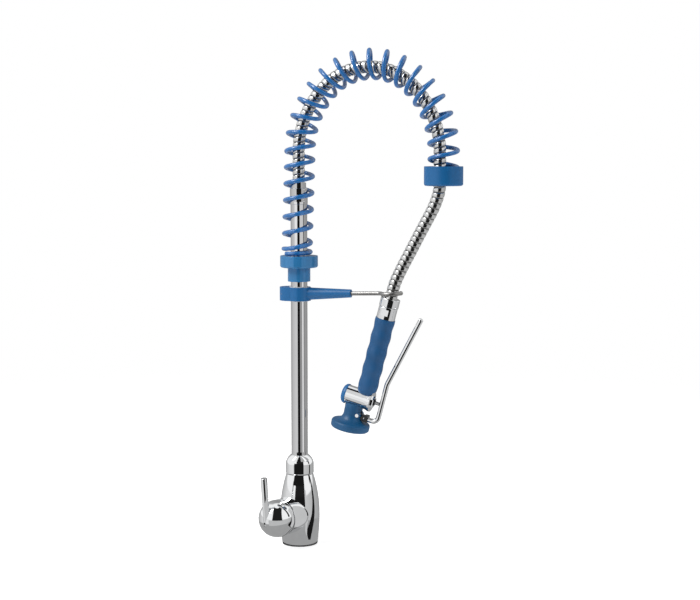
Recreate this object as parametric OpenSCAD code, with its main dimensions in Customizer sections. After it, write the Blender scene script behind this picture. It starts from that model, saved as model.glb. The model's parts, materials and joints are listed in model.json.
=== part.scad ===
// Deck-mounted pre-rinse faucet: a single-lever mixer with a rigid riser, a coil spring arch,
// a flexible hose, a holder arm and a trigger spray handset.
// Origin: centre of the base underside, on the deck. +Z up, the arch reaches towards +X.

/* [Mixer body] */
// Height of the body casting, from the deck to the riser nut
body_h = 104; // [95:0.5:115]
// Widest diameter of the body
body_d = 58; // [56:0.5:66]
// Diameter of the body at the deck
base_d = 51.5; // [48:0.5:56]
// Diameter of the body at the riser nut
body_top_d = 39.4; // [38:0.2:42]
// Height of the widest point
body_wide_z = 43; // [36:1:48]
// Direction that the mixer cap faces, degrees from +X
cap_turn = -110; // [-150:1:-60]

/* [Mixer cap and lever] */
// Radius of the ball cap
cap_r = 27; // [26.5:0.5:29]
// Wall of the ball cap
cap_wall = 2.5; // [1.5:0.1:3]
// Centre of the ball cap, from the body axis
cap_out = 50; // [48:0.5:55]
// Centre of the ball cap, above the deck
cap_z = 46; // [40:0.5:52]
// Diameter of the lever rod
lever_d = 9.5; // [7:0.5:10]
// Top of the lever rod, above the deck
lever_top = 110; // [90:0.5:130]
// Axis of the lever rod, in from the surface of the cap
lever_inset = 4.5; // [4:0.1:6]
// Lean of the lever rod, outwards from the vertical, degrees
lever_lean = 5; // [0:0.5:8]

/* [Riser] */
// Outer diameter of the riser pipe
riser_d = 24; // [20:0.5:25]
// Wall of the riser pipe
riser_wall = 1.6; // [1.2:0.1:2]
// Top of the riser pipe, above the deck
riser_top = 497; // [400:1:600]
// Height of the nut that holds the riser
nut_h = 28; // [24:0.5:36]
// Widest diameter of that nut
nut_d = 41; // [40:0.2:46]
// Depth of the middle of the nut's dome below its top
nut_dome = 16.4; // [14:0.2:18]

/* [Collars] */
// Wall of the spring collars, outside the spring
collar_wall = 4.65; // [3:0.05:7]
// Height of the lower collar's flange
collar_flange_h = 17; // [12:0.5:22]
// Height of the lower collar's neck
collar_neck_h = 20; // [15:0.5:30]
// Diameter of the lower collar's neck
collar_neck_d = 32.5; // [30:0.5:40]
// Height of the upper collar
cup_h = 27; // [24:0.5:34]
// Distance from the lower collar's top to the top of the riser pipe
collar_below_top = 74; // [60:1:100]

/* [Spring arch] */
// Distance from the riser axis to the upper collar axis
arch_reach = 215; // [180:1:260]
// Rise of the arch over its legs
arch_rise = 124; // [112:1:160]
// Diameter of the coated spring wire
wire_d = 6; // [4:0.2:6.6]
// Gap between the riser pipe and the spring
spring_gap = 4.6; // [4.2:0.1:7]
// Active turns of the spring
spring_turns = 23; // [18:0.1:26]
// Lean of the spring's left leg over its height
spring_lean = 5; // [0:0.5:8]

/* [Hose] */
// Outer diameter of the armoured hose
hose_d = 17.6; // [15:0.2:18]
// Bore of the hose
hose_bore = 9; // [6:0.5:10]
// Pitch of the armour ribs
rib_pitch = 7.8; // [6:0.2:12]
// Depth of the grooves between the ribs
rib_depth = 1; // [0.4:0.1:1.6]

/* [Holder arm] */
// Height of the clamp
clamp_h = 19.5; // [16:0.5:26]
// Upward slope of the arm, degrees
arm_slope = 2; // [0:0.5:4]
// Length of the moulded arm, from the riser axis
arm_len = 79.5; // [60:0.5:90]
// Diameter of the moulded arm at its thin end
arm_end_d = 11.6; // [9:0.2:14]
// Diameter of the hook rod
hook_d = 5.8; // [5:0.2:6.4]
// Radius of the hook's bend, to the middle of the rod
hook_r = 14; // [13.6:0.1:18]

/* [Handset] */
// Tilt of the handset from the vertical, degrees
handset_tilt = 14.8; // [10:0.1:18]
// Diameter of the hose nut
hose_nut_d = 28; // [25:0.5:29]
// Length of the hose nut
hose_nut_h = 12.6; // [12:0.2:18]
// Length of the inlet adaptor that shows
adaptor_h = 17.6; // [16:0.2:26]
// Diameter of the grip
grip_d = 29; // [26:0.5:30]
// Length of the grip
grip_h = 113.5; // [90:0.5:130]
// Rounding of the grip's lower end
grip_round = 5.5; // [2:0.5:8]
// Diameter of the valve body
valve_d = 27; // [23:0.5:29]
// Distance from the grip axis to the blind end of the valve body
valve_back = 26.5; // [24:0.5:32]
// Diameter of the spray head's rim
rose_d = 56; // [50:1:70]
// Diameter of the spray head's neck
neck_d = 26; // [22:0.5:28]
// Diameter of the squeeze lever rod
trigger_d = 7.2; // [5:0.1:8]

/* [Fits] */
// Radial clearance of a running fit
fit = 0.05; // [0.02:0.01:0.1]
// Clearance between pieces that must not touch
clear = 0.3; // [0.2:0.05:0.4]

/* [Hidden] */

$fn = 96;
far = 400;

// Colours
chrome = [0.80, 0.81, 0.83];
steel = [0.62, 0.63, 0.64];
brass = [0.78, 0.66, 0.36];
blue = [0.13, 0.37, 0.62];
rubber = [0.12, 0.12, 0.13];
nylon = [0.90, 0.90, 0.86];
ceramic = [0.96, 0.95, 0.92];

// Base underside
gasket_h = 2.4;
gasket_r = base_d / 2 - 5;
gasket_w = 3;
stud_r = 3.4;
stud_deep = 16;
stud_back = 12;
inlet_r = 4.5;
inlet_deep = 12;
inlet_side = 9;
inlet_out = 2;
duct_r = 2.6;

// Riser seat in the body
bush_wall = 2.2;
seat_r = riser_d / 2 + bush_wall;
seat_z = body_h - 26;
spigot_r = seat_r + 2.6;
spigot_h = 9.5;
shoulder_h = 3;
shoulder_z = body_h + spigot_h - shoulder_h - 0.1;
bush_h = 14;
seal_wire_r = 1.1;
seal_z = [seat_z + 4.5, seat_z + 8.5];
outlet_r = 5;

// Ball cap frame: +Z points out of the boss, -X points up
lever_out = cap_r - lever_inset;
boss_r = cap_r - 0.5;
seat_gap = 0.4;
socket_r = cap_r + seat_gap;
boss_end = -9.5;
cap_rim_z = -cap_r * cos(54.5);
hub_r = 9.5;
hub_z = 8;
spindle_w = 5;
nut_dome_over = 0.4;
spindle_foot = -12.5;
spindle_tip = 15;
pivot_r = 1.2;
carrier_r = 9.8;
carrier_bore = 6.5;
carrier_z = -10.8;
carrier_top = 3;
chamber_r = carrier_r + 0.1;
disc_r = 6;
disc_h = 3.6;
disc_pocket = 3.5;
fixed_disc_h = 3.6;
disc_z = carrier_z - 0.4 - disc_h;
fixed_disc_z = disc_z - 0.05 - fixed_disc_h;
housing_r = 12.4;
housing_top = -6;
housing_foot = -36.8;
flange_r = 15.2;
flange_z = -32;
flange_h = 3.8;
ring_nut_h = 6;
bore_foot = -37;
port_r = 1.9;
port_ring = 6.3;
port_seal_r = 0.9;
screw_r = 1.6;
screw_drop = 2.5;
plug_h = 1.2;
lever_foot = 7;

// Riser fittings
fitting_h = 23;
fitting_d = riser_d + 1.6;
fitting_spigot = 13;
ferrule_h = 8;
ferrule_wall = 1.6;
spring_d = riser_d + 2 * (spring_gap + wire_d);
collar_d = spring_d + 2 * collar_wall;
collar_top_z = riser_top - collar_below_top;
collar_round = 3;
grub_r = 2.5;

// Arch: two legs and three arcs in the XZ plane
shoulder_angle = 45;
spring_r = (spring_d - wire_d) / 2;
wire_seat = 0.35;
end_pitch = wire_d + 0.7;
leg_z = collar_top_z + 148;
cup_z = collar_top_z + 102;
cup_floor = 10;
spring_foot_z = collar_top_z + wire_d / 2 + wire_seat;
spring_end_z = cup_z + cup_floor + wire_d / 2 + wire_seat;
hose_inset = 5.5;
hose_x = arch_reach - hose_inset;
gland_wall = 2.4;
seam = 0.2;
swell = 0.03;
curl_rings = 8;
curl_sides = 6;
hose_sides = 8;

// Free hose from the upper collar to the handset: points from the hose's exit at the collar
drop_route = [[0, 17.7], [0, 0], [-1.2, -9.5], [-4.2, -19.5], [-7.8, -28.5], [-12.2, -37.5],
    [-22, -55.5], [-31.8, -73.5], [-41.2, -91.5], [-51.2, -110], [-60.3, -128], [-64.2, -137],
    [-67.1, -146]];
drop_straight = 17.6;
hose_in_nut = 4;

// Handset frame: origin at the top of the hose nut, -Z runs down the grip, +X towards the lever
down = [-sin(handset_tilt), -cos(handset_tilt)];
drop_end = drop_route[len(drop_route) - 1];
handset_x = hose_x + drop_end[0] + down[0] * (drop_straight - hose_in_nut);
handset_z = cup_z + drop_end[1] + down[1] * (drop_straight - hose_in_nut);
nut_collar = 4;
nut_bore_r = 10.8;
tail_flange = 2.2;
washer_h = 1.4;
tail_nose_r = 7.2;
tail_nose = 8;
adaptor_d = hose_nut_d - 1;
adaptor_top = hose_nut_h + 0.3;
adaptor_flat = adaptor_d / 2 - 1;
tube_r = 8.5;
tube_bore_r = 6.5;
tube_in_adaptor = 8;
grip_top = adaptor_top + adaptor_h;
grip_end = grip_top + grip_h;
grip_first = 4.1;
grip_pitch = 23.6;
grip_wave = 0.5;
valve_s = grip_end + 8.2;
valve_front = 9;
valve_lip = 3;
flare_q = 2;
lip_r = valve_d / 2 + 1.5;
chamber = 7;
seat_q = -3.5;
seat_wall = 2;
seat_bore = 3.6;
stem_r = 2.5;
cap_round = 6;
cap_len = 7;
gland_spigot = 6;
gland_head = 2.8;
gland_head_r = 8.5;
wiper_h = 1.1;
wiper_r = 4.8;
plug_len = 4;
plug_r = 5.4;
washer_len = 1.4;

// Spray head frame: tilted in the handset, -Z runs out through the rose
head_q = -13.5;
head_tilt = -3;
head_tube_r = 5;
head_bore_r = 2.8;
neck_end = 25;
rim_top = 37;
rim_h = 11.5;
bumper_w = 5;
rose_r = rose_d / 2 - bumper_w;
rose_plate_h = 2.4;
rose_hole_r = 0.8;
rose_cavity = 6;
boss_small_r = 4;
feed_ring = 7.5;
feed_r = 1.6;

// Squeeze lever, as distances down the grip and out from its axis
pin_s = valve_s + 24;
pin_q = -2.5;
leg_q = pin_q + 9.7;
pin_r = 1.5;
pin_head_r = 2.6;
pin_half = 9.4;
slot_w = 6.2;
block_w = 5.6;
eye_r = 3.4;
leg_s = pin_s + 3;
block_foot = leg_s + trigger_d / 2 + 0.5;
block_side = trigger_d / 2 + 1.4;
trigger_q = 26.6;
trigger_bend = 8;
knee_s = valve_s - 31;
knee_r = 25;
trigger_top_s = valve_s - 137;
trigger_lean = 13;

// Holder arm
hook_lift = hook_d / 2 + hose_nut_d / 2 * sin(handset_tilt) + clear + 0.1;
hook_x = handset_x + hook_lift * tan(handset_tilt) - 1.1;
hook_z = handset_z + hook_lift;
clamp_z = hook_z - hook_x * tan(arm_slope);
liner_wall = 2;
liner_over = 0.8;
clamp_r = riser_d / 2 + liner_wall + 3;
clamp_tail = 14;
clamp_tail_r = 15;
clamp_screw_tip = 12;
hook_neck_r = 8;
hook_in_arm = 30;
clamp_screw_r = 2.4;
clamp_head_r = 4.2;

// ---------------------------------------------------------------- helpers

// Lengths of the five stretches of an arch [foot_x, left_x, right_x, rise, leg_z, foot_z, end_z]
function arch_half(a) = (a[2] - a[1]) / 2;
function arch_shift(a) =
    (a[3] - arch_half(a)) / (1 + tan(shoulder_angle) - 1 / cos(shoulder_angle));
function arch_r1(a) = arch_half(a) + arch_shift(a);
function arch_r2(a) = arch_r1(a) - arch_shift(a) / cos(shoulder_angle);
function arc_len(r, angle) = r * angle * PI / 180;
function arch_leg(a) = norm([a[1] - a[0], a[4] - a[5]]);
function arch_stops(a) = let (
        leg = arch_leg(a),
        shoulder = arc_len(arch_r1(a), shoulder_angle),
        crown = arc_len(arch_r2(a), 180 - 2 * shoulder_angle)
    ) [leg, leg + shoulder, leg + shoulder + crown, leg + 2 * shoulder + crown];
function arch_length(a) = arch_stops(a)[3] + a[4] - a[6];

// Place [x, z, heading] on an arch, at distance s from its foot
function arch_at(a, s) = let (
        stop = arch_stops(a),
        r1 = arch_r1(a),
        r2 = arch_r2(a),
        lean = atan2(a[1] - a[0], a[4] - a[5])
    )
    s < stop[0] ? [a[0] + s * sin(lean), a[5] + s * cos(lean), 90 - lean] :
    s < stop[1] ? let (t = (s - stop[0]) / r1 * 180 / PI)
        [a[1] + r1 * (1 - cos(t)), a[4] + r1 * sin(t), 90 - t] :
    s < stop[2] ? let (t = shoulder_angle + (s - stop[1]) / r2 * 180 / PI)
        [a[1] + arch_half(a) - r2 * cos(t), a[4] + arch_shift(a) * tan(shoulder_angle) + r2 * sin(t), 90 - t] :
    s < stop[3] ? let (t = 180 - shoulder_angle + (s - stop[2]) / r1 * 180 / PI)
        [a[2] - r1 * (1 + cos(t)), a[4] + r1 * sin(t), 90 - t] :
    [a[2], a[4] - (s - stop[3]), -90];

// A flat ring of points round centre c, in the plane of the unit vectors u and v
function ring(c, u, v, r, sides) = [for (k = [0:sides - 1])
    c + r * cos(k * 360 / sides) * u + r * sin(k * 360 / sides) * v];

// Two triangles for each side between ring i and ring j of a point list
function skin(i, j, sides) = [for (k = [0:sides - 1]) let (m = (k + 1) % sides)
    each [[i * sides + k, i * sides + m, j * sides + m], [i * sides + k, j * sides + m, j * sides + k]]];

// A solid tube through rings of points, closed by a fan at each end
module sweep_solid(rings, sides) {
    n = len(rings);
    points = [for (r = rings) each r];
    walls = [for (i = [0:n - 2]) each skin(i, i + 1, sides)];
    start = [for (k = [1:sides - 2]) [0, k + 1, k]];
    end = [for (k = [1:sides - 2]) [(n - 1) * sides, (n - 1) * sides + k, (n - 1) * sides + k + 1]];
    polyhedron(points, concat(walls, start, end));
}

// A tube with a bore, through outer rings and inner rings of points
module sweep_hollow(outer, inner, sides) {
    n = len(outer);
    points = [for (r = concat(outer, inner)) each r];
    walls = [for (i = [0:n - 2]) each skin(i, i + 1, sides)];
    bore = [for (i = [0:n - 2]) each skin(n + i + 1, n + i, sides)];
    polyhedron(points, concat(walls, bore, skin(n, 0, sides), skin(n - 1, 2 * n - 1, sides)));
}

// A ribbed hose through stations [x, z, heading] in the XZ plane, two rings to a rib
module ribbed_hose(stations) {
    side = [0, 1, 0];
    outer = [for (i = [0:len(stations) - 1]) let (
            p = stations[i],
            r = hose_d / 2 - (i % 2 == 0 ? 0 : rib_depth))
        ring([p[0], 0, p[1]], [-sin(p[2]), 0, cos(p[2])], side, r, hose_sides)];
    inner = [for (p = stations)
        ring([p[0], 0, p[1]], [-sin(p[2]), 0, cos(p[2])], side, hose_bore / 2, hose_sides)];
    sweep_hollow(outer, inner, hose_sides);
}

// Running length at each point of a route, and the place at a given length along it
function run_lengths(p) = [for (i = 0, s = 0; i < len(p);
    s = s + (i + 1 < len(p) ? norm(p[i + 1] - p[i]) : 0), i = i + 1) s];
function leg_of(runs, s) = max([for (i = [0:len(runs) - 2]) if (runs[i] <= s) i]);
function route_at(p, runs, s) = let (
        i = leg_of(runs, s),
        d = (p[i + 1] - p[i]) / (runs[i + 1] - runs[i])
    ) [p[i][0] + d[0] * (s - runs[i]), p[i][1] + d[1] * (s - runs[i])];
function route_heading(p, runs, s) = let (
        a = route_at(p, runs, max(s - 4, 0)),
        b = route_at(p, runs, min(s + 4, runs[len(runs) - 1] - 0.001))
    ) atan2(b[1] - a[1], b[0] - a[0]);

// A cylinder from z0 to z1
module disc(r, z0, z1) {
    translate([0, 0, z0]) cylinder(h = z1 - z0, r = r);
}

module tube(r_out, r_in, z0, z1) {
    difference() {
        disc(r_out, z0, z1);
        disc(r_in, z0 - 1, z1 + 1);
    }
}

module o_ring(ring_r, wire_r, z) {
    translate([0, 0, z]) rotate_extrude() translate([ring_r, 0]) circle(r = wire_r, $fn = 32);
}

// A turned disc whose lower or upper corner is rounded
module round_disc(r, z0, z1, low, high) {
    rotate_extrude() turned_profile(r, z0, z1, low, high);
}

module turned_profile(r, z0, z1, low, high) {
    lap = 0.01;
    translate([0, z0 + low]) square([r, z1 - z0 - low - high]);
    if (low > 0) {
        translate([0, z0]) square([r - low, low + lap]);
        intersection() {
            translate([r - low, z0 + low]) circle(r = low, $fn = 32);
            translate([0, z0]) square([r, low + lap]);
        }
    }
    if (high > 0) {
        translate([0, z1 - high - lap]) square([r - high, high + lap]);
        intersection() {
            translate([r - high, z1 - high]) circle(r = high, $fn = 32);
            translate([0, z1 - high - lap]) square([r, high + lap]);
        }
    }
}

module in_cap() {
    translate([cap_out * cos(cap_turn), cap_out * sin(cap_turn), cap_z])
        rotate([0, 0, cap_turn])
            rotate([0, 90, 0])
                children();
}

module in_handset() {
    translate([handset_x, 0, handset_z]) rotate([0, handset_tilt, 0]) children();
}

// Valve frame: +Z runs along the valve body towards the lever
module in_valve() {
    in_handset() translate([0, 0, -valve_s]) rotate([0, 90, 0]) children();
}

module in_head() {
    in_handset() translate([head_q, 0, -valve_s]) rotate([0, head_tilt, 0]) children();
}

// Pin frame: +Z runs along the lever pin, towards +Y
module in_pin() {
    in_handset() translate([pin_q, 0, -pin_s]) rotate([-90, 0, 0]) children();
}

// ---------------------------------------------------------------- mixer body

// One flank of the body: the arc from its widest point to radius r at height z
module body_flank(r, z) {
    dz = abs(body_wide_z - z);
    dr = body_d / 2 - r;
    flank_r = (dz * dz + dr * dr) / (2 * dr);
    intersection() {
        translate([body_d / 2 - flank_r, body_wide_z]) circle(r = flank_r, $fn = 360);
        translate([0, min(z, body_wide_z)]) square([body_d, dz]);
    }
}

module at_ports() {
    for (a = [60, 180, 300]) rotate([0, 0, a]) translate([port_ring, 0, 0]) children();
}

module body_ducts() {
    in_cap() at_ports() disc(duct_r, -cap_out + 1, bore_foot + 1);
    rotate([0, 0, cap_turn]) {
        for (side = [-1, 1]) translate([inlet_out, side * inlet_side, 0]) {
            disc(inlet_r, -1, inlet_deep);
            disc(duct_r, 0, cap_z - port_ring / 2 + duct_r / 2);
        }
        translate([-stud_back, 0, 0]) disc(stud_r, -1, stud_deep);
    }
    disc(outlet_r, cap_z + port_ring - duct_r / 2, seat_z + 1);
}

module mixer_body() {
    color(chrome) difference() {
        union() {
            rotate_extrude() {
                body_flank(base_d / 2, 0);
                body_flank(body_top_d / 2, body_h);
            }
            disc(spigot_r, body_h - 1, body_h + spigot_h);
            in_cap() disc(boss_r, -cap_out, boss_end);
        }
        in_cap() sphere(r = socket_r, $fn = 128);
        in_cap() disc(flange_r + clear, flange_z, 0);
        in_cap() disc(housing_r + 0.1, bore_foot, flange_z + 1);
        disc(seat_r + fit, seat_z, body_h + spigot_h + 1);
        tube(gasket_r + gasket_w / 2, gasket_r - gasket_w / 2, -gasket_h, gasket_h);
        body_ducts();
    }
}

module base_gasket() {
    color(rubber) tube(gasket_r + gasket_w / 2 - 0.05, gasket_r - gasket_w / 2 + 0.05, 0, gasket_h);
}

module riser_nut() {
    color(chrome) difference() {
        intersection() {
            round_disc(nut_d / 2, body_h + 0.1, body_h + nut_h, 2, 0);
            union() {
                translate([0, 0, body_h + nut_h - nut_dome]) sphere(r = nut_d / 2 + nut_dome_over, $fn = 128);
                disc(nut_d / 2 + 1, body_h, body_h + nut_h - nut_dome + 1);
            }
        }
        disc(spigot_r + fit, body_h - 1, body_h + spigot_h + 0.2);
        disc(riser_d / 2 + fit, body_h, body_h + nut_h + 1);
    }
}

module riser_bush() {
    color(nylon) tube(seat_r, riser_d / 2 + fit, shoulder_z - bush_h, shoulder_z - 0.05);
}

module riser_seals() {
    color(rubber) for (z = seal_z) o_ring(riser_d / 2 + seal_wire_r, seal_wire_r, z);
}

// ---------------------------------------------------------------- cartridge, in the cap's frame

module cartridge_housing() {
    color(nylon) in_cap() difference() {
        union() {
            disc(housing_r, housing_foot, housing_top);
            disc(flange_r, flange_z, flange_z + flange_h);
        }
        disc(chamber_r, fixed_disc_z - 0.05, housing_top + 1);
        at_ports() disc(port_r, housing_foot - 1, fixed_disc_z);
        at_ports() disc(port_seal_r + 2.8, housing_foot - 1, housing_foot + 0.8);
    }
}

module cartridge_nut() {
    color(brass) in_cap()
        tube(flange_r + 0.2, housing_r + fit, flange_z + flange_h + 0.05, flange_z + flange_h + ring_nut_h);
}

module cartridge_seals() {
    color(rubber) in_cap() at_ports() tube(port_seal_r + 2.75, port_r + 0.05, bore_foot, housing_foot + 0.8);
}

module fixed_disc() {
    color(ceramic) in_cap() difference() {
        disc(chamber_r - 0.3, fixed_disc_z, fixed_disc_z + fixed_disc_h);
        at_ports() disc(port_r, fixed_disc_z - 1, fixed_disc_z + fixed_disc_h + 1);
    }
}

module moving_disc() {
    color(ceramic) in_cap() difference() {
        disc(disc_r, disc_z, disc_z + disc_h);
        disc(disc_pocket, spindle_foot - 0.4, disc_z + disc_h + 1);
    }
}

module spindle_carrier() {
    color(nylon) in_cap() {
        tube(carrier_r, carrier_bore, carrier_z, carrier_top);
        rotate([90, 0, 0]) cylinder(h = 2 * carrier_bore + 2, r = pivot_r, center = true, $fn = 48);
    }
}

module spindle() {
    color(brass) in_cap() difference() {
        union() {
            disc(spindle_w / 2 + clear, spindle_foot, 0);
            translate([-spindle_w / 2, -spindle_w / 2, -0.5]) cube([spindle_w, spindle_w, spindle_tip + 0.5]);
        }
        rotate([90, 0, 0]) cylinder(h = 2 * carrier_bore, r = pivot_r + fit, center = true, $fn = 48);
    }
}

// Lever frame: +Z runs up along the lever rod, from its axis beside the centre of the cap
module in_lever() {
    translate([0, 0, lever_out]) rotate([0, lever_lean - 90, 0]) children();
}

module ball_cap() {
    color(chrome) in_cap() difference() {
        union() {
            difference() {
                sphere(r = cap_r, $fn = 128);
                sphere(r = cap_r - cap_wall, $fn = 128);
            }
            intersection() {
                sphere(r = cap_r - cap_wall / 2, $fn = 128);
                disc(hub_r, hub_z, cap_r);
            }
        }
        translate([-far, -far, cap_rim_z - 2 * far]) cube(2 * far);
        translate([-spindle_w / 2 - fit, -spindle_w / 2 - fit, 0])
            cube([spindle_w + 2 * fit, spindle_w + 2 * fit, spindle_tip + 0.1]);
        in_lever() disc(lever_d / 2 + 0.05, -lever_foot, far / 4);
        translate([screw_drop, 0, 0]) disc(screw_r + 0.02, spindle_tip - 1, cap_r + 1);
    }
}

module mixer_lever() {
    color(chrome) in_cap() difference() {
        in_lever() round_disc(lever_d / 2, -lever_foot, (lever_top - cap_z) / cos(lever_lean), 1.2, 0.8);
        translate([screw_drop, 0, 0]) disc(screw_r + 0.02, spindle_tip - 1, cap_r + 1);
    }
}

module lever_screw() {
    color(steel) in_cap() translate([screw_drop, 0, 0]) disc(screw_r, spindle_tip + 0.3, cap_r - plug_h - 1);
}

module indicator_plug() {
    color(rubber) in_cap() translate([screw_drop, 0, 0]) disc(screw_r, cap_r - plug_h - 0.9, cap_r - 0.3);
}

// ---------------------------------------------------------------- riser

module riser_pipe() {
    color(chrome) difference() {
        union() {
            disc(riser_d / 2, seat_z + 2, riser_top);
            disc(seat_r - 0.1, shoulder_z, shoulder_z + shoulder_h);
        }
        disc(riser_d / 2 - riser_wall, seat_z, riser_top + 1);
    }
}

module riser_fitting() {
    color(chrome) difference() {
        union() {
            disc(riser_d / 2 - riser_wall - fit, riser_top - fitting_spigot, riser_top + 0.5);
            round_disc(fitting_d / 2, riser_top + 0.02, riser_top + fitting_h, 0.6, 0.6);
        }
        disc(hose_bore / 2 + 0.5, riser_top - fitting_spigot - 1, riser_top + fitting_h + 1);
    }
}

module riser_ferrule() {
    top = riser_top + fitting_h + ferrule_h;
    color(chrome) tube(hose_d / 2 + 0.15 + ferrule_wall, hose_d / 2 + 0.15, riser_top + fitting_h, top);
}

module lower_collar() {
    foot = collar_top_z - collar_flange_h;
    color(blue) difference() {
        union() {
            round_disc(collar_d / 2, foot, collar_top_z, collar_round, 0.6);
            disc(collar_neck_d / 2, foot - collar_neck_h, foot + 1);
        }
        disc(riser_d / 2 + 0.02, foot - collar_neck_h - 1, collar_top_z + 1);
        translate([0, 0, foot - collar_neck_h / 2]) rotate([-90, 0, 0]) disc(grub_r + 0.02, 0, collar_d);
    }
}

module collar_screw() {
    color(steel) translate([0, 0, collar_top_z - collar_flange_h - collar_neck_h / 2])
        rotate([-90, 0, 0])
            difference() {
                disc(grub_r, riser_d / 2 + 0.05, collar_neck_d / 2 - 0.4);
                translate([0, 0, collar_neck_d / 2 - 2.2]) cylinder(h = 3, r = 1.4, $fn = 6);
            }
}

// ---------------------------------------------------------------- spring and hose

spring_arch = [-0.6 * spring_lean, 0.4 * spring_lean, arch_reach, arch_rise, leg_z,
    spring_foot_z, spring_end_z];
coil_start = 58;
pitch_swing = 0.04;
pitch_lean = 0.02;
coil_turns = spring_turns + 2;
active_len = arch_length(spring_arch) - 2 * end_pitch;

// Distance along the arch after t turns: closed end turns, and open turns that draw in at the crown
function coil_s(t) = let (u = (t - 1) / spring_turns)
    t < 1 ? end_pitch * t :
    t > spring_turns + 1 ? end_pitch * (t - spring_turns) + active_len :
    end_pitch + active_len * (u + (pitch_swing * sin(360 * u) + pitch_lean * (1 - cos(360 * u))) / (2 * PI));
function coil_out(p, turn) = let (a = coil_start + 360 * turn)
    [-sin(p[2]) * cos(a), -sin(a), cos(p[2]) * cos(a)];
function coil_at(t) = let (p = arch_at(spring_arch, coil_s(t)))
    [p[0], 0, p[1]] + spring_r * coil_out(p, t);
function unit(v) = v / norm(v);

coil_rings = floor(coil_turns * curl_rings);
coil_centres = [for (i = [0:coil_rings]) coil_at(i / curl_rings)];
coil_gaps = [for (i = [0:coil_rings - 5]) for (j = [i + 5:min(i + 20, coil_rings)])
    norm(coil_centres[i] - coil_centres[j]) - wire_d];
echo(spring_least_gap_mm = min(coil_gaps));

module arch_spring() {
    rings = [for (i = [0:coil_rings]) let (
            t = i / curl_rings,
            along = unit(coil_at(t + 0.01) - coil_at(max(t - 0.01, 0))),
            out = coil_out(arch_at(spring_arch, coil_s(t)), t),
            u = unit(out - (out * along) * along))
        ring(coil_centres[i], u, cross(along, u), wire_d / 2, curl_sides)];
    color(blue) sweep_solid(rings, curl_sides);
}

module hose_arch() {
    path = [0, 0, hose_x, arch_rise - hose_inset + 1, leg_z, riser_top + fitting_h,
        cup_z + drop_route[0][1] + clear];
    length = arch_length(path);
    steps = 2 * round(length / rib_pitch);
    color(steel) ribbed_hose([for (i = [0:steps]) arch_at(path, i * length / steps)]);
}

module hose_drop() {
    exit = [hose_x, cup_z];
    free = [for (p = drop_route) exit + p];
    path = concat(free, [free[len(free) - 1] + down * drop_straight]);
    runs = run_lengths(path);
    length = runs[len(runs) - 1] - 0.001;
    steps = 2 * round(length / rib_pitch);
    echo(drop_hose_mm = length);
    color(steel) ribbed_hose([for (i = [0:steps]) let (s = i * length / steps)
        concat(route_at(path, runs, s), [route_heading(path, runs, s)])]);
}

module upper_collar() {
    color(blue) translate([arch_reach, 0, cup_z]) difference() {
        round_disc(collar_d / 2, 0, cup_h, collar_round, 0.6);
        disc(spring_d / 2 + clear, cup_floor, cup_h + 1);
        translate([-hose_inset, 0, 0]) disc(hose_d / 2 + 0.2 + gland_wall, -1, cup_floor + 1);
    }
}

module collar_gland() {
    color(nylon) translate([hose_x, 0, cup_z])
        tube(hose_d / 2 + 0.15 + gland_wall, hose_d / 2 + 0.2, 0.4, cup_floor);
}

// ---------------------------------------------------------------- holder arm

module at_clamp() {
    translate([0, 0, clamp_z]) children();
}

// Arm frame: +X runs out along the arm
module in_arm() {
    at_clamp() rotate([0, -arm_slope, 0]) children();
}

module arm_liner() {
    over = clamp_h / 2 + liner_over;
    color(nylon) at_clamp() tube(riser_d / 2 + liner_wall, riser_d / 2 + fit, -over, over);
}

module holder_arm() {
    half = clamp_h / 2;
    color(blue) difference() {
        union() {
            at_clamp() disc(clamp_r, -half, half);
            at_clamp() translate([-clamp_tail, 0, 0]) disc(clamp_tail_r, -half, half);
            at_clamp() translate([-clamp_tail, -clamp_tail_r, -half])
                cube([clamp_tail, 2 * clamp_tail_r, clamp_h]);
            in_arm() rotate([0, 90, 0]) cylinder(h = arm_len, r1 = half, r2 = arm_end_d / 2);
        }
        at_clamp() disc(riser_d / 2 + liner_wall + 0.05, -clamp_h, clamp_h);
        at_clamp() translate([-far, -0.8, -clamp_h]) cube([far, 1.6, 2 * clamp_h]);
        in_arm() rotate([0, 90, 0]) disc(hook_d / 2 + 0.02, arm_len - hook_in_arm, arm_len + 1);
        in_clamp_screw() disc(clamp_screw_r + 0.05, -clamp_screw_tip - 0.5, far / 4);
        in_clamp_screw() disc(clamp_head_r + 0.2, 7, far / 4);
    }
}

// Screw frame in the clamp's tail, +Z towards +Y
module in_clamp_screw() {
    at_clamp() translate([-clamp_tail - 6.5, 0, 0]) rotate([-90, 0, 0]) children();
}

module clamp_screw() {
    color(steel) in_clamp_screw() difference() {
        union() {
            disc(clamp_screw_r, -clamp_screw_tip, 7.5);
            disc(clamp_head_r, 7.05, 11);
        }
        translate([0, 0, 8.5]) cylinder(h = 4, r = 2, $fn = 6);
    }
}

module hook_rod() {
    centre = hook_x / cos(arm_slope);
    bend = centre - sqrt(pow(hook_r + hook_neck_r, 2) - pow(hook_neck_r, 2));
    meet = atan2(hook_neck_r, centre - bend);
    color(steel) in_arm() {
        rotate([0, 90, 0]) disc(hook_d / 2, arm_len - hook_in_arm, bend + seam);
        translate([bend, -hook_neck_r, 0]) rotate([0, 0, meet])
            rotate_extrude(angle = 90 - meet) translate([hook_neck_r, 0])
                circle(r = hook_d / 2 + swell, $fn = 48);
        translate([centre, 0, 0]) rotate([0, 0, 179 + meet])
            rotate_extrude(angle = 181 - meet) translate([hook_r, 0]) circle(d = hook_d, $fn = 48);
        translate([centre + hook_r, 0, 0]) rotate([-90, 0, 0])
            round_disc(hook_d / 2 + 0.2, -0.8, 1.8, 0.5, 1.4);
    }
}

// ---------------------------------------------------------------- hose end and handset

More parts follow.
